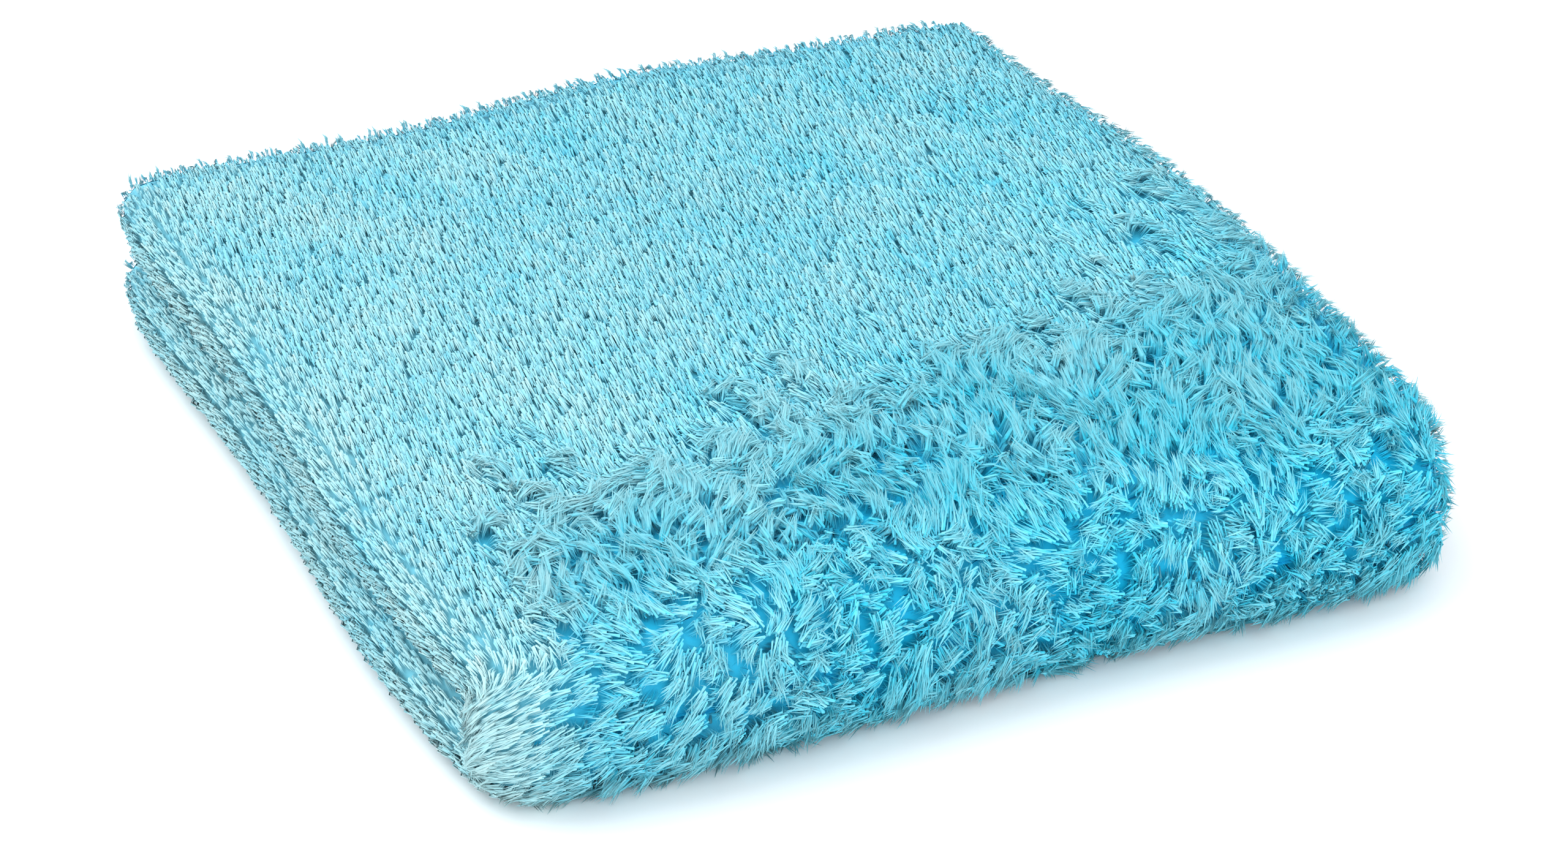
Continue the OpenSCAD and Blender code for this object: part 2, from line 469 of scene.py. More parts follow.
def lock_set(name, seed, kinds=8, **shape):
    """A collection of different locks, for the pile to pick from."""
    rng = np.random.default_rng(seed)
    locks = bpy.data.collections.new(name)
    bpy.context.scene.collection.children.link(locks)
    for k in range(kinds):
        locks.objects.link(bpy.data.objects.new(f"{name}_{k}", lock_mesh(f"{name}_{k}", rng, **shape)))
    return locks


def remove_set(locks):
    """Removes the loose locks once the pile is grown."""
    for ob in list(locks.objects):
        mesh = ob.data
        bpy.data.objects.remove(ob)
        bpy.data.meshes.remove(mesh)
    bpy.data.collections.remove(locks)


ROOT_GAP = 0.55                                   # least distance between roots, over the spacing
ROOT_FILL = 0.9                                   # roots in a square of the spacing, before they thin out
LEAN_IN = -0.4                                    # how far a strand bows off the surface's own plane
SWIRL_SCALE = 70.0
SWIRL = (1.1, 0.08)                               # how far its way wanders, by openness and at rest
STRAY = (0.07, 0.05)                              # how far a strand's own aim strays, the same way
CROWN = (0.30, 0.42)                              # height in the pile at which the colour, with its painted sheen, is palest, the same way
FINE_CLUMP = 0.6                                  # size of the combed clumps over the open ones
FINE_GATHER = {"pull": 0.22, "stray": 0.35}       # of combed clumps
WIDE_GATHER = {"pull": 0.80, "stray": 1.8}        # of open tufts
FREE_SHADE = (5.0, 1.2)                           # how soon open strands shade as they aim, and how far
COAT_SHADE = 0.1                                  # how much deeper the undercoat's tone is: painted shade and scattered light low in the pile
STRAND_LENGTHS = (0.78, 1.15)                     # shortest and longest strand over the length
STRAND_TONES = 0.10                               # how far tones vary from strand to strand
TUFT_EDGE_SHADE = -0.2                                 # and how they deepen from the middle of a tuft towards its gaps: painted shade and scattered light
TUFT_MIDDLE = 0.4
FIBRE_TONES = 0.10                                # and from fibre to fibre
SIDE_TONES = 0.012                                # and from side to side of a fibre
RISE_SHARE = 0.72                                 # how a point's height in the pile, and its place along its
ALONG_SHARE = 0.26                                # fibre, count towards the colour
MAP_EDGE = 0.015                                  # keeps the map off its own border
MAP_END = 0.01


class Sums:
    """Short ways to write the sums of a node tree. Each gives the socket that holds its result."""

    def __init__(self, tree, seed):
        self.tree = tree
        self.seed = seed

    def maths(self, operation, a, b=0.0, c=0.0):
        return add(self.tree, "ShaderNodeMath", {0: a, 1: b, 2: c}, operation=operation).outputs[0]

    def between(self, low, a, high):
        return self.maths("MINIMUM", self.maths("MAXIMUM", a, low), high)

    def by_openness(self, openness, sizes):
        return self.maths("MULTIPLY_ADD", openness, *sizes)

    def vector(self, operation, a, b=(0, 0, 0)):
        return add(self.tree, "ShaderNodeVectorMath", {0: a, 1: b}, operation=operation).outputs[0]

    def dot(self, a, b):
        node = add(self.tree, "ShaderNodeVectorMath", {0: a, 1: b}, operation="DOT_PRODUCT")
        return node.outputs["Value"]

    def scaled(self, a, by):
        return add(self.tree, "ShaderNodeVectorMath", {0: a, "Scale": by}, operation="SCALE").outputs[0]

    def centred(self, colour):
        return self.vector("SUBTRACT", colour, (0.5, 0.5, 0.5))

    def named(self, name, kind="FLOAT"):
        node = add(self.tree, "GeometryNodeInputNamedAttribute", {"Name": name}, data_type=kind)
        return node.outputs[0]

    def store(self, geometry, name, value, kind="FLOAT", domain="POINT"):
        return add(self.tree, "GeometryNodeStoreNamedAttribute", {
            "Geometry": geometry, "Name": name, "Value": value,
        }, data_type=kind, domain=domain).outputs[0]

    def chance(self, low, high, draw):
        seed = self.maths("ADD", self.seed, draw)
        node = add(self.tree, "FunctionNodeRandomValue", {2: low, 3: high, "Seed": seed}, data_type="FLOAT")
        return node.outputs[1]

    def chance_vector(self, draw):
        seed = self.maths("ADD", self.seed, draw)
        node = add(self.tree, "FunctionNodeRandomValue", {
            0: (-1.0, -1.0, -1.0), 1: (1.0, 1.0, 1.0), "Seed": seed,
        }, data_type="FLOAT_VECTOR")
        return node.outputs[0]

    def chance_index(self, draw):
        seed = self.maths("ADD", self.seed, draw)
        node = add(self.tree, "FunctionNodeRandomValue", {4: 0, 5: 1000, "Seed": seed}, data_type="INT")
        return node.outputs[2]


def pile_sockets(tree):
    """The inputs and the output of the pile's node group. Gives the sockets of its inputs."""
    face = tree.interface
    face.new_socket("Geometry", in_out="INPUT", socket_type="NodeSocketGeometry")
    face.new_socket("Locks", in_out="INPUT", socket_type="NodeSocketCollection")
    for name in ("Spacing", "Length", "Clump"):
        face.new_socket(name, in_out="INPUT", socket_type="NodeSocketFloat")
    face.new_socket("Seed", in_out="INPUT", socket_type="NodeSocketInt")
    face.new_socket("Material", in_out="INPUT", socket_type="NodeSocketMaterial")
    face.new_socket("Geometry", in_out="OUTPUT", socket_type="NodeSocketGeometry")
    return add(tree, "NodeGroupInput").outputs


def pile_roots(sums, group):
    """Points all over the base, none too near another."""
    spacing = group["Spacing"]
    return add(sums.tree, "GeometryNodeDistributePointsOnFaces", {
        "Mesh": group["Geometry"], "Distance Min": sums.maths("MULTIPLY", spacing, ROOT_GAP),
        "Density Max": sums.maths("DIVIDE", ROOT_FILL, sums.maths("MULTIPLY", spacing, spacing)),
        "Seed": group["Seed"],
    }, distribute_method="POISSON").outputs


def gathered(sums, strand, size, pull, stray):
    """A strand's aim, in lengths of itself, when neighbours gather in clumps of a size. Each clump has a
    way of its own and a tip that its strands lean to. Gives the aim and the clump's cell."""
    place, normal = strand["place"], strand["normal"]
    scale = sums.maths("DIVIDE", 1.0, size)
    wide_scale = sums.maths("MULTIPLY", scale, 0.4)
    wander = add(sums.tree, "ShaderNodeTexNoise", {"Vector": place, "Scale": wide_scale})
    moved = sums.vector("ADD", place, sums.scaled(sums.centred(wander.outputs["Color"]), size))
    cell = add(sums.tree, "ShaderNodeTexVoronoi", {"Vector": moved, "Scale": scale}).outputs
    own = sums.scaled(sums.centred(cell["Color"]), stray)
    middle = sums.vector("SUBTRACT", cell["Position"], moved)
    middle = sums.vector("SUBTRACT", middle, sums.scaled(normal, sums.dot(middle, normal)))
    aim = sums.vector("ADD", normal, sums.vector("ADD", strand["way"], own))
    lean = sums.scaled(middle, sums.maths("DIVIDE", pull, strand["length"]))
    return sums.vector("ADD", sums.vector("NORMALIZE", aim), lean), cell


def strand_way(sums, place, openness):
    """The way a strand lies: its base's lie with a swirl."""
    swirl = add(sums.tree, "ShaderNodeTexNoise", {"Vector": place, "Scale": SWIRL_SCALE, "Detail": 1.0})
    turned = sums.scaled(sums.centred(swirl.outputs["Color"]), 2.0)
    wander = sums.scaled(turned, sums.by_openness(openness, SWIRL))
    return sums.vector("ADD", sums.named("lie", "FLOAT_VECTOR"), wander)


def strand_aim(sums, strand, clump, openness):
    """Where a strand points, from combed to open, and the cell of its open tuft."""
    fine, _ = gathered(sums, strand, sums.maths("MULTIPLY", clump, FINE_CLUMP), **FINE_GATHER)
    wide, cell = gathered(sums, strand, clump, **WIDE_GATHER)
    mixed = add(sums.tree, "ShaderNodeMix", {"Factor": openness, 4: fine, 5: wide}, data_type="VECTOR")
    strays = sums.scaled(sums.chance_vector(1), sums.by_openness(openness, STRAY))
    return sums.vector("ADD", mixed.outputs[1], strays), cell


def marked_roots(sums, points, strand, aim, cell, openness):
    """The roots with what the shading needs: tone, place, two normals and the height of the crown."""
    tone = sums.maths("ADD", sums.named("paleness"), sums.chance(-STRAND_TONES, STRAND_TONES, 2))
    # Painted shade and scattered light: strands deepen from the middle of their tuft towards the gaps round
    # it.
    off_middle = sums.maths("SUBTRACT", cell["Distance"], TUFT_MIDDLE)
    tone = sums.maths("ADD", tone, sums.maths("MULTIPLY", off_middle, TUFT_EDGE_SHADE))
    freed = sums.maths("MINIMUM", sums.maths("MULTIPLY", openness, FREE_SHADE[0]), FREE_SHADE[1])
    soft = sums.vector("NORMALIZE", sums.vector("ADD", strand["normal"], sums.scaled(aim, freed)))
    crown = sums.maths("MULTIPLY", strand["length"], sums.by_openness(openness, CROWN))
    points = sums.store(points, "tone", tone)
    points = sums.store(points, "up", strand["normal"], "FLOAT_VECTOR")
    points = sums.store(points, "soft", soft, "FLOAT_VECTOR")
    points = sums.store(points, "root", strand["place"], "FLOAT_VECTOR")
    return sums.store(points, "crown", crown)


def grown_strands(sums, group, points, strand, aim):
    """A strand on each root, picked from the locks, turned to its aim and cut to its length."""
    bowed = sums.vector("ADD", strand["way"], sums.scaled(strand["normal"], LEAN_IN))
    turn = add(sums.tree, "FunctionNodeAxesToRotation", {0: sums.vector("NORMALIZE", aim), 1: bowed},
               primary_axis="Z", secondary_axis="X")
    length = sums.maths("MULTIPLY", strand["length"], sums.named("reach"))
    length = sums.maths("MULTIPLY", length, sums.chance(*STRAND_LENGTHS, 3))
    bunch = add(sums.tree, "GeometryNodeCollectionInfo", {
        "Collection": group["Locks"], "Separate Children": True, "Reset Children": True,
    })
    grown = add(sums.tree, "GeometryNodeInstanceOnPoints", {
        "Points": points, "Instance": bunch.outputs[0], "Pick Instance": True,
        "Instance Index": sums.chance_index(4), "Rotation": turn.outputs[0],
        "Scale": add(sums.tree, "ShaderNodeCombineXYZ", {0: length, 1: length, 2: length}).outputs[0],
    })
    return add(sums.tree, "GeometryNodeRealizeInstances", {0: grown.outputs[0]}).outputs[0]


def undercoat(sums, base, place, openness):
    """The base itself, marked like the strands, as the part of the pile too dense to see into."""
    level = add(sums.tree, "GeometryNodeInputNormal").outputs[0]
    coat = sums.store(base, "root", place, "FLOAT_VECTOR")
    coat = sums.store(coat, "soft", level, "FLOAT_VECTOR")
    coat = sums.store(coat, "up", level, "FLOAT_VECTOR")
    coat = sums.store(coat, "crown", 1.0)
    # Painted shade and scattered light: the undercoat takes the saturated low end of the colours, lower
    # still where the pile stands open, and a deeper tone.
    coat = sums.store(coat, "along", sums.by_openness(openness, (-1.0, 1.5)))
    return sums.store(coat, "tone", sums.maths("SUBTRACT", sums.named("paleness"), COAT_SHADE))


def pile_map(sums, place):
    """Each point's place on the pile's map: across by its tone and up by its height in the pile."""
    across = sums.maths("MULTIPLY_ADD", sums.named("shade"), FIBRE_TONES, sums.named("tone"))
    across = sums.maths("MULTIPLY_ADD", sums.named("side"), SIDE_TONES, across)
    # Height in the pile sets the painted light of the colour ramps: saturated low down for light scattered
    # through the pile, pale near the tips as a sheen.
    rise = sums.vector("SUBTRACT", place, sums.named("root", "FLOAT_VECTOR"))
    risen = sums.dot(rise, sums.named("up", "FLOAT_VECTOR"))
    risen = sums.maths("DIVIDE", risen, sums.named("crown"))
    along = sums.maths("MULTIPLY", sums.named("along"), ALONG_SHARE)
    height = sums.maths("MULTIPLY_ADD", risen, RISE_SHARE, along)
    return add(sums.tree, "ShaderNodeCombineXYZ", {
        0: sums.between(MAP_EDGE, across, 1 - MAP_EDGE), 1: sums.between(MAP_END, height, 1 - MAP_END),
    }).outputs[0]


def pile_tree():
    """Geometry Nodes that grow locks of fibres on a base. The base's attributes say which way they lie,
    how far they stand open, how long they are and how pale."""
    tree = bpy.data.node_groups.new("pile", "GeometryNodeTree")
    group = pile_sockets(tree)
    sums = Sums(tree, group["Seed"])
    openness = sums.named("openness")
    place = add(tree, "GeometryNodeInputPosition").outputs[0]
    roots = pile_roots(sums, group)
    strand = {"place": place, "normal": roots["Normal"], "length": group["Length"],
              "way": strand_way(sums, place, openness)}
    aim, cell = strand_aim(sums, strand, group["Clump"], openness)
    points = marked_roots(sums, roots["Points"], strand, aim, cell, openness)
    whole = add(tree, "GeometryNodeJoinGeometry")
    tree.links.new(undercoat(sums, group["Geometry"], place, openness), whole.inputs[0])
    tree.links.new(grown_strands(sums, group, points, strand, aim), whole.inputs[0])
    mapped = sums.store(whole.outputs[0], PILE_MAP, pile_map(sums, place), "FLOAT2", "CORNER")
    dressed = add(tree, "GeometryNodeSetMaterial", {"Geometry": mapped, "Material": group["Material"]})
    add(tree, "NodeGroupOutput", {0: dressed.outputs[0]})
    return tree


KEPT_ATTRIBUTES = {
    "position", ".edge_verts", ".corner_vert", ".corner_edge", "sharp_face", "material_index", PILE_MAP,
}


def grow(name, base, tree, locks, material, sizes, seed):
    """Grows pile on a base and returns it as a plain mesh. No fibre reaches below the bench."""
    values = {"Locks": locks, "Seed": seed, "Material": material}
    values.update(zip(("Spacing", "Length", "Clump"), (value * MM for value in sizes)))
    modifier = base.modifiers.new("pile", "NODES")
    modifier.node_group = tree
    for item in tree.interface.items_tree:
        if item.in_out == "INPUT" and item.name in values:
            modifier[item.identifier] = values[item.name]
    base.update_tag()
    made = finished(base, name)
    lift(made.data)
    soft = np.empty(len(made.data.vertices) * 3, np.float32)
    made.data.attributes["soft"].data.foreach_get("vector", soft)
    for attribute in [a.name for a in made.data.attributes]:
        if attribute not in KEPT_ATTRIBUTES:
            made.data.attributes.remove(made.data.attributes[attribute])
    soften(made.data, soft.reshape(-1, 3))
    return made


def soften(mesh, soft):
    """Fine fibres scatter light through each other, so the pile shades more like its surface than like
    slivers: each normal is turned most of the way to the soft one given."""
    own = np.empty(len(mesh.vertices) * 3, np.float32)
    mesh.vertex_normals.foreach_get("vector", own)
    normals = own.reshape(-1, 3) * (1 - SOFTNESS) + soft * SOFTNESS
    normals /= np.linalg.norm(normals, axis=1, keepdims=True) + 1e-9
    mesh.normals_split_custom_set_from_vertices(normals.tolist())


def lift(mesh):
    """Presses what would reach below the bench into a thin layer on it."""
    places = np.empty(len(mesh.vertices) * 3, np.float32)
    mesh.vertices.foreach_get("co", places)
    places = places.reshape(-1, 3)
    z = places[:, 2]
    places[:, 2] = np.where(z < FLOOR, FLOOR * np.exp(np.minimum(z - FLOOR, 0) / FLOOR_GIVE), z)
    mesh.vertices.foreach_set("co", places.ravel())
    mesh.update()


def base_mesh(name, points, faces, out, lie, openness, reach, paleness):
    """A base for pile: a surface that carries how the pile grows on it."""
    ob = new_mesh(name, points, faces, out)
    mesh = ob.data
    lies = mesh.attributes.new("lie", "FLOAT_VECTOR", "POINT").data
    lies.foreach_set("vector", lie.astype(np.float32).ravel())
    for label, values in (("openness", openness), ("reach", reach), ("paleness", paleness)):
        values = np.broadcast_to(values, len(points)).astype(np.float32)
        mesh.attributes.new(label, "FLOAT", "POINT").data.foreach_set("value", values)
    return ob


OPEN_LEFT = 0.12                                  # where the tufts open, from the front, over the depth
OPEN_RIGHT = 0.14                                 # how much further back that is on the right
OPEN_WANDER = 0.04
LOOSE_RIGHT = 0.35                                # how loose the pile is all along the right


def unrest(p):
    """How fluffed up the pile is, from 0 where it lies combed to 1 where it stands in open tufts:
    along the front and round the front right corner."""
    x, y = p[..., 0] / WIDTH + 0.5, p[..., 1] / DEPTH + 0.5
    edge = OPEN_LEFT + OPEN_RIGHT * x * x
    edge = edge + OPEN_WANDER * soft_noise(p[..., 0], p[..., 1], 50 * MM, SEED + 5)
    loose = LOOSE_RIGHT * smoothstep(0.55, 1.0, x) * smoothstep(1.1, 0.4, y)
    return np.maximum(smoothstep(edge + 0.34, edge - 0.10, y) * smoothstep(0.02, 0.14, x), loose)


def on_face(s, t, is_upper):
    """Places and outward directions on the face side's undercoat, settled, in world terms. It thins out at
    the hem."""
    out = facing(s, t)
    points = folded(s, t)
    to_hem = np.minimum(OUTER_BACK - points[..., 1], HEM_X - points[..., 0])
    coat = COAT * (0.35 + 0.65 * smoothstep(0, 5 * MM, to_hem))
    points = points + out * (KNIT_T / 2 + coat)[..., None]
    if is_upper:
        points, out = upper(points), mirrored(out)
    return settle(points.reshape(-1, 3)), out.reshape(-1, 3)


def combed(points, out, way, strength):
    """A lie of the pile: a direction laid flat on the surface."""
    way = np.broadcast_to(np.array(way, float), points.shape)
    flat = way - out * (way * out).sum(1, keepdims=True)
    return flat * np.broadcast_to(strength, len(points))[:, None]


STEP_S = 3 * MM                                   # steps of a pile base
STEPS_DOWN = 60                                   # from the back to the front fold
STEPS_ROUND = 14                                  # round the front fold


def patch(s0, s1, t0, t1):
    """A grid of places on the sheet between two s and two t."""
    s = np.linspace(s0, s1, int(abs(s1 - s0) / STEP_S) + 1)
    t = np.linspace(t0, t1, int(abs(t1 - t0) * (STEPS_DOWN if t1 <= 1 else STEPS_ROUND)) + 1)
    return s, t, *np.meshgrid(s, t, indexing="ij")


COMB = (-0.05, -1.0, 0)                           # the way the pile is combed, to the front
COMB_LIE = 3.2                                    # how flat it lies there
OPEN_LIE = -0.3                                   # how far an open tuft leans the other way
BREAK_LIE = 8.0                                   # how far it turns to the right between the two
ROUND_LIE = 1.2                                   # how far it turns left round the front fold
HEM_LIE = 0.55                                    # how much straighter it stands by the hem
PATCHES = 0.22                                    # how patchily it opens
PATCH_SIZE = 11 * MM
CLEFT = 3 * MM                                    # half the width of the cleft between the rolled folds
TONE_SIZE = 30 * MM                               # of the slow changes of tone
TONE_SPREAD = 0.10
LEFT_SHEEN = 0.18                                  # how much paler it is on the left, a painted sheen
OPEN_SHADE = -0.42                                 # and how much deeper in open tufts and in the cleft: painted shade, and in the tufts painted scattered light
CLEFT_SHADE = -0.35
OPEN_REACH = 0.18                                 # how much longer open tufts are
HEM_REACH = -0.3                                  # and how much shorter it is by the hem and in the cleft
CLEFT_REACH = -0.45
FACE_TONE = 0.56
ROLL_TONE = 0.68
EDGE_TONE = 0.5
MEETING_TONE = 0.8


def face_base(name, s0, s1, t0, t1, is_upper, paleness=FACE_TONE, reach=1.0):
    """A pile base on part of the knit's face side. The pile is combed to the front on the flat and on the
    rolled fold, and it falls open towards the front and the front right."""
    s, t, ss, tt = patch(s0, s1, t0, t1)
    points, out = on_face(ss, tt, is_upper)
    x, y, z = points[:, 0], points[:, 1], points[:, 2]
    on_fold = smoothstep(1.0, 1.6, tt.ravel())
    fluff = np.maximum(unrest(points), on_fold * smoothstep(0.0, 0.2, x / WIDTH + 0.5))
    left_end = smoothstep(-0.2, -0.5, x / WIDTH) * smoothstep(-0.25, -0.5, y / DEPTH)
    patchy = fluff + PATCHES * soft_noise(x, y, PATCH_SIZE, SEED + 6)
    opened = np.maximum(smoothstep(0.30, 0.55, patchy), on_fold * fluff)
    to_back = smoothstep(-0.045, -0.005, y / DEPTH - OUTER_BACK / DEPTH)
    to_right = smoothstep(-0.045, -0.005, x / WIDTH - HEM_X / WIDTH)
    near_hem = np.maximum(to_back, to_right)
    cleft = smoothstep(CLEFT, 0.5 * MM, np.abs(z - HEIGHT / 2)) * (1 - on_fold)
    flat = COMB_LIE * (1 - opened) + OPEN_LIE * opened
    lie = combed(points, out, COMB, flat * (1 - on_fold))
    lie = lie + combed(points, out, (1.0, 0, 0), BREAK_LIE * opened * (1 - opened) * (1 - on_fold))
    lie = lie + combed(points, out, (-1.0, 0, -0.25), ROUND_LIE * on_fold * (0.25 + left_end))
    lie = lie * (1 - HEM_LIE * near_hem)[:, None]
    paleness = paleness + TONE_SPREAD * soft_noise(x, y, TONE_SIZE, SEED + 7)
    # Painted sheen: the pile is paler towards the left.
    paleness = paleness + LEFT_SHEEN * smoothstep(0.1, -0.45, x / WIDTH)
    # Painted shade and scattered light: the pile deepens in open tufts, and painted shade deepens it in the
    # cleft between the rolled folds.
    paleness = paleness + OPEN_SHADE * fluff + CLEFT_SHADE * cleft
    reach = reach * (1 + OPEN_REACH * fluff + HEM_REACH * near_hem + CLEFT_REACH * cleft)
    openness = opened * (0.45 + 0.55 * fluff)
    return base_mesh(name, points, grid(s, t), out, lie, openness, reach, paleness)


EDGE_STEPS = 60                                   # along each side of the hem


def edge_path(count):
    """The hem's way round one half in (s, t), along both right edges and the back, with rounded corners."""
    back_t = CORNER / (OUTER_BACK - FOLD_Y)
    turn = np.linspace(0, math.pi / 2, 7)
    right = np.linspace(2, back_t, count)
    across = np.linspace(CORNER, S_ALL - CORNER, 2 * count)[1:-1]
    round_s = CORNER * (1 - np.cos(turn))
    round_t = back_t * (1 - np.sin(turn))
    s = np.concatenate([right * 0, round_s, across, S_ALL - round_s[::-1], right * 0 + S_ALL])
    t = np.concatenate([right, round_t, across * 0, round_t[::-1], right[::-1]])
    return s, t


def edge_base(name, is_upper):
    """A pile base round a half's hem: the turn of the edge and a strip of the inside. The pile on it fans
    outwards."""
    s, t = edge_path(EDGE_STEPS)
    middle, normal = folded(s, t), facing(s, t)
    along = np.gradient(middle, axis=0)
    along /= np.linalg.norm(along, axis=1, keepdims=True) + 1e-12
    outward = np.cross(along, normal)
    inside = folded(np.clip(s, 0.01, S_ALL - 0.01), np.maximum(t, 0.06)) - middle
    outward *= -np.sign((outward * inside).sum(1, keepdims=True))
    turns = np.linspace(0.45 * math.pi, -math.pi / 2, 7)
    across = np.concatenate([EDGE_R * np.cos(turns), [-EDGE_STRIP / 2, -EDGE_STRIP]])
    rise = np.concatenate([EDGE_R * np.sin(turns), [-EDGE_R] * 2])
    lean = np.concatenate([np.cos(turns), [0, 0]])
    stand = np.concatenate([np.sin(turns), [-1, -1]])
    sideways, upright = outward[:, None], normal[:, None]
    points = middle[:, None] + sideways * across[None, :, None] + upright * rise[None, :, None]
    out = sideways * lean[None, :, None] + upright * stand[None, :, None]
    way = sideways + 0 * out
    points, out, way = (v.reshape(-1, 3) for v in (points, out, way))
    if is_upper:
        points, out, way = upper(points), mirrored(out), mirrored(way)
    points = settle(points)
    flat = way - out * (way * out).sum(1, keepdims=True)
    paleness = EDGE_TONE + 0.08 * soft_noise(points[:, 0], points[:, 1], TONE_SIZE, SEED + 8)
    return base_mesh(name, points, grid(s, across), out, flat * 1.7, 0.35, 1.0, paleness)


CREASE_RISE = 4 * MM                              # over which the meeting face rises to the front fold


def meeting_base(name, is_upper):
    """A pile base on the face that meets the other half. It rises over the turned ends of the plies at the
    front fold, so that the opened cloth is plush right up to its crease."""
    x = np.linspace(ROLL_X - 2 * MM, HEM_X, 60)
    y = np.linspace(FRONT + 0.8 * MM, INNER_BACK, 72)
    xx, yy = np.meshgrid(x, y, indexing="ij")
    level = INNER_N + KNIT_T / 2 + COAT
    crease_level = FOLD_Z + 0.4 * MM
    zz = level + (crease_level - level) * smoothstep(FOLD_Y, FOLD_Y - CREASE_RISE, yy)
    points = np.stack([xx, yy, zz], -1).reshape(-1, 3)
    out = np.zeros_like(points)
    out[:, 2] = 1
    if is_upper:
        points, out = upper(points), mirrored(out)
    points = settle(points)
    at_crease = smoothstep(12 * MM, 3 * MM, points[:, 1] - FRONT)
    lie = combed(points, out, (0.3, 1.0, 0), 1.9 * (1 - 0.7 * at_crease))
    tones = TONE_SPREAD * soft_noise(points[:, 0], points[:, 1], TONE_SIZE, SEED + 9)
    # Painted shade: the pile's colour deepens towards the crease of the front fold.
    paleness = MEETING_TONE - 0.6 * at_crease + tones
    return base_mesh(name, points, grid(x, y), out, lie, 0.15, 0.85, paleness)


# ---------------------------------------------------------------- hem

STITCH_PITCH = 1.6 * MM
THREAD_R = 0.38 * MM
STITCH_TURNS = 8
THREAD_SIDES = 4


def hem_places(is_inner):
    """Each stitch's place on one ply's edge, with its directions along the edge, up and inwards."""
    s, t = edge_path(EDGE_STEPS)
    half = len(s) // 2
    s, t = (s[half:], t[half:]) if is_inner else (s[:half + 1], t[:half + 1])
    middle, normal = folded(s, t), facing(s, t)
    step = np.linalg.norm(np.diff(middle, axis=0), axis=1)
    gone = np.concatenate([[0], np.cumsum(step)])
    places = np.arange(STITCH_PITCH, gone[-1] - STITCH_PITCH, STITCH_PITCH)
    at = np.stack([np.interp(places, gone, middle[:, k]) for k in range(3)], 1)
    up = np.stack([np.interp(places, gone, normal[:, k]) for k in range(3)], 1)
    along = np.gradient(at, axis=0)
    along /= np.linalg.norm(along, axis=1, keepdims=True)
    up -= along * (up * along).sum(1, keepdims=True)
    up /= np.linalg.norm(up, axis=1, keepdims=True)
    inward = np.cross(up, along)
    centre = folded(np.full(1, S_FLAT * 0.5), np.full(1, 0.5))[0]
    inward *= np.sign(((centre - at) * inward).sum(1, keepdims=True))
    return at, along, up, inward


def stitch(at, along, up, inward):
    """One loop of thread round the edge, as a closed tube: its points, ring by ring."""
    turns = np.linspace(0, 2 * math.pi, STITCH_TURNS + 1)[:-1]
    ring = np.linspace(0, 2 * math.pi, THREAD_SIDES + 1)[:-1]
    loop = [at + inward * (HEM_W / 2 - HEM_W / 2 * math.cos(a)) + up * HEM_T / 2 * math.sin(a)
            + along * STITCH_PITCH * 0.5 * math.sin(a / 2) for a in turns]
    points = []
    for i, middle in enumerate(loop):
        flow = loop[(i + 1) % len(loop)] - loop[i - 1]
        flow = flow / np.linalg.norm(flow)
        side = np.cross(flow, along)
        side /= np.linalg.norm(side) + 1e-12
        over = np.cross(flow, side)
        points += [middle + (side * math.cos(b) + over * math.sin(b)) * THREAD_R for b in ring]
    return points


def stitch_faces(base):
    """The quads of one loop whose points start at base."""
    faces = []
    for i in range(STITCH_TURNS):
        here, ahead = base + i * THREAD_SIDES, base + (i + 1) % STITCH_TURNS * THREAD_SIDES
        for b in range(THREAD_SIDES):
            c = (b + 1) % THREAD_SIDES
            faces.append([here + b, here + c, ahead + c, ahead + b])
    return faces


def hem_thread(name, is_upper, is_inner, material):
    """The overlocked edge of one ply: loops of thread that wrap the knit's edge, close together."""
    points, faces = [], []
    for place in zip(*hem_places(is_inner)):
        faces += stitch_faces(len(points))
        points += stitch(*place)
    points = np.array(points)
    if is_upper:
        points = upper(points)
        faces = [f[::-1] for f in faces]
    ob = new_mesh(name, settle(points), np.array(faces))
    ob.data.materials.append(material)
    smooth(ob.data)
    return ob


# ---------------------------------------------------------------- the object

def dress(ob, body, slot, *nodes):
    """Puts a finished piece on its body, in place of its CAD nodes."""
    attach(ob, body)
    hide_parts(*nodes)
    return ob


# Pile, in millimetres: between strands, length of a strand, and size of the clumps they gather in.
TOP_PILE = (0.91, 6.2, 2.6)
BOTTOM_PILE = (2.3, 6.2, 2.6)
ROLL_PILE = (0.85, 5.0, 2.6)
FRONT_PILE = (0.90, 5.8, 2.8)
MEETING_PILE = (2.0, 6.2, 3.0)
EDGE_PILE = (1.0, 4.4, 2.6)
TOP_STRIPS = 4


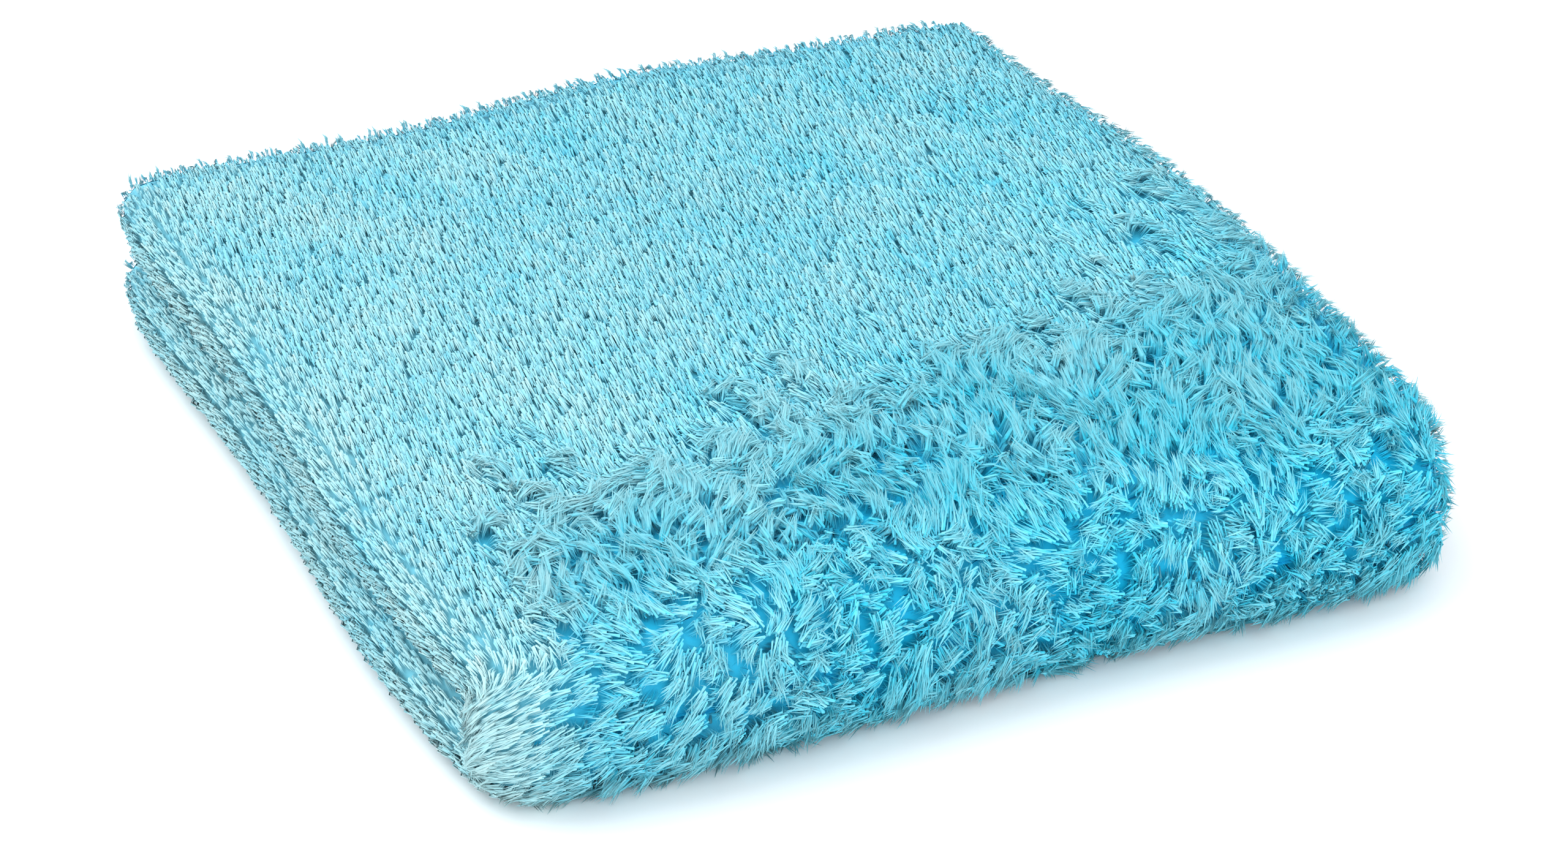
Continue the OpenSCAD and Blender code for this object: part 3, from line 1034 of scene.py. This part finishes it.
def pile_plan(half, is_upper):
    """All that grows on one half: each piece's name, CAD node, kind of strand, sizes and base."""
    roll = (S_FLAT - 1 * MM, S_FLAT + S_ROLL + 1 * MM)
    if is_upper:
        for k in range(TOP_STRIPS):
            base = face_base("base", 0, roll[0], k / TOP_STRIPS, (k + 1) / TOP_STRIPS, True)
            yield f"top_nap_{k + 1}", "upper_top_pile", "nap", TOP_PILE, base
    else:
        base = face_base("base", 0, roll[0], 0, 1, False, reach=0.75)
        yield "bottom_nap", "lower_bottom_pile", "nap", BOTTOM_PILE, base
    base = face_base("base", *roll, 0, 2, is_upper, paleness=ROLL_TONE)
    yield f"{half}_rolled_fold_nap", f"{half}_rolled_fold_pile", "nap", ROLL_PILE, base
    base = face_base("base", 0, roll[0], 1, 2, is_upper)
    yield f"{half}_front_fold_tufts", f"{half}_front_fold_pile", "tuft", FRONT_PILE, base
    yield f"{half}_meeting_nap", f"{half}_meeting_pile", "nap", MEETING_PILE, meeting_base("base", is_upper)
    yield f"{half}_edge_nap", f"{half}_inner_pile", "nap", EDGE_PILE, edge_base("base", is_upper)


def make_pile(half, is_upper, tree, strands, material):
    """Grows the pile of one half and puts it on its body."""
    for k, (name, node, kind, sizes, base) in enumerate(pile_plan(half, is_upper)):
        seed = 100 * (1 + is_upper) + k
        ob = grow(name, base, tree, strands[kind], material, sizes, seed)
        dress(ob, half + "_half", "face_pile", node)


def make_knit(half, is_upper, plies, knit, thread):
    """The knit of one half with the hem threads of its two plies, outer one first."""
    body = half + "_half"
    sheet = dress(knit_sheet(half + "_knit", is_upper, knit), body, "ground_knit", half + "_ground_knit")
    for ply, is_inner in zip(plies, (False, True)):
        hem = hem_thread(ply + "_hem_thread", is_upper, is_inner, thread)
        dress(hem, body, "hem_thread", ply + "_ply_hem")


HALVES = (                                        # name, whether the upper one, and plies, outer one first
    ("lower", False, ("bottom", "second")),
    ("upper", True, ("top", "third")),
)


def make_cloth():
    """Both halves of the folded cloth."""
    knit, thread, pile = knit_material(), thread_material(), pile_material()
    tree = pile_tree()
    strands = {
        "nap": lock_set("nap", SEED, fibres=4, wrap=1.0, root_r=0.07, belly_r=0.06, tip_r=0.04,
                        bend=(-0.35, 0.60), curl=0.08),
        "tuft": lock_set("tuft", SEED + 1, fibres=4, wrap=1.6, root_r=0.08, belly_r=0.08, tip_r=0.05,
                         bend=(-0.50, 0.80), curl=0.14),
    }
    for half, is_upper, plies in HALVES:
        make_knit(half, is_upper, plies, knit, thread)
        make_pile(half, is_upper, tree, strands, pile)
    for kind in strands.values():
        remove_set(kind)


# ---------------------------------------------------------------- bench and light

BENCH_R = 3.0
LAMPS = {                                         # place, size and power
    "key": ((-0.60, 0.15, 1.25), 1.0, 7.5),
    "fill": ((-0.5, -1.25, 0.9), 1.4, 13.0),
}
ROOM_LIGHT = 1.15


def make_bench():
    """A wide white board under the cloth."""
    corners = np.array([[-1, -1, 0], [1, -1, 0], [1, 1, 0], [-1, 1, 0]]) * BENCH_R
    bench = new_mesh("bench", corners, np.array([[0, 1, 2, 3]]))
    bench.data.materials.append(bench_material())


def make_lights():
    """A large soft light high on the left, a wider one at the front left and a pale room."""
    world = bpy.data.worlds.new("room")
    bpy.context.scene.world = world
    world.use_nodes = True
    room = world.node_tree.nodes["Background"]
    room.inputs["Color"].default_value = linear("#f4f8fb")
    room.inputs["Strength"].default_value = ROOM_LIGHT
    for name, (place, size, power) in LAMPS.items():
        data = bpy.data.lights.new(name, "AREA")
        data.size = size
        data.energy = power
        lamp = bpy.data.objects.new(name, data)
        lamp.location = place
        lamp.rotation_euler = (-Vector(place)).to_track_quat("-Z", "Y").to_euler()
        bpy.context.scene.collection.objects.link(lamp)
    bpy.context.scene.view_settings.view_transform = "Standard"


make_camera()
make_cloth()
make_bench()
make_lights()
